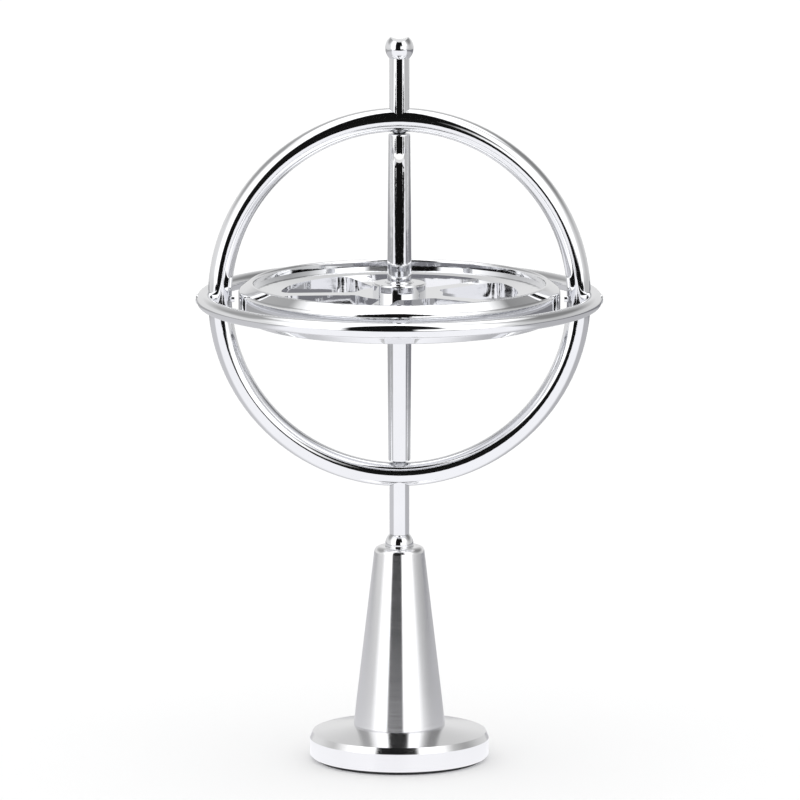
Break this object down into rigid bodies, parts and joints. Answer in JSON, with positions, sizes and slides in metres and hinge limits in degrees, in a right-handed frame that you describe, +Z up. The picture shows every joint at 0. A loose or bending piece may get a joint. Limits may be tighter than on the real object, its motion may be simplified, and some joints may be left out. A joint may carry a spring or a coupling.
{
  "type": "gyroscope",
  "caption": "Toy gyroscope on a turned pedestal: spoked flywheel on an axle inside crossed rings, with ball ends, one resting in the pedestal's cup.",
  "frame": {"origin": "middle of the pedestal's underside, on the table", "axes": "+Z up along the axle, X across the vertical ring's plane, Y through the rings"},
  "size_m": [0.0654, 0.065, 0.1175],
  "materials": {
    "chrome_plate": "polished chrome plate",
    "satin_aluminium": "fine-turned and polished aluminium",
    "bearing_steel": "hardened and ground steel",
    "screw_steel": "zinc-plated steel",
    "rubber_pad": "matt black rubber"
  },
  "bodies": {
    "pedestal": {"base_pad": "rubber_pad", "base_disc": "satin_aluminium", "base_screw": "screw_steel", "pedestal_cone": "satin_aluminium"},
    "lower_ball": {"lower_ball": "chrome_plate"},
    "frame": {"lower_post": "chrome_plate", "vertical_ring": "chrome_plate", "horizontal_ring": "chrome_plate", "rivet_left": "chrome_plate", "rivet_right": "chrome_plate", "top_post": "chrome_plate", "top_ball": "chrome_plate", "upper_pivot": "bearing_steel", "lower_pivot": "bearing_steel"},
    "rotor": {"axle": "chrome_plate", "upper_bearing_cup": "bearing_steel", "lower_bearing_cup": "bearing_steel", "hub_bush": "chrome_plate", "flywheel": "chrome_plate"}
  },
  "joints": [
    {"name": "precession", "type": "hinge", "parent": "pedestal", "child": "lower_ball", "pos_m": [0, 0, 0.0352], "axis": [0, 0, 1], "continuous": true},
    {"name": "lean", "type": "hinge", "parent": "lower_ball", "child": "frame", "pos_m": [0, 0, 0.0352], "axis": [0, 1, 0], "range_deg": [-45, 45]},
    {"name": "rotor_spin", "type": "hinge", "parent": "frame", "child": "rotor", "pos_m": [0, 0, 0.07485], "axis": [0, 0, 1], "continuous": true}
  ]
}
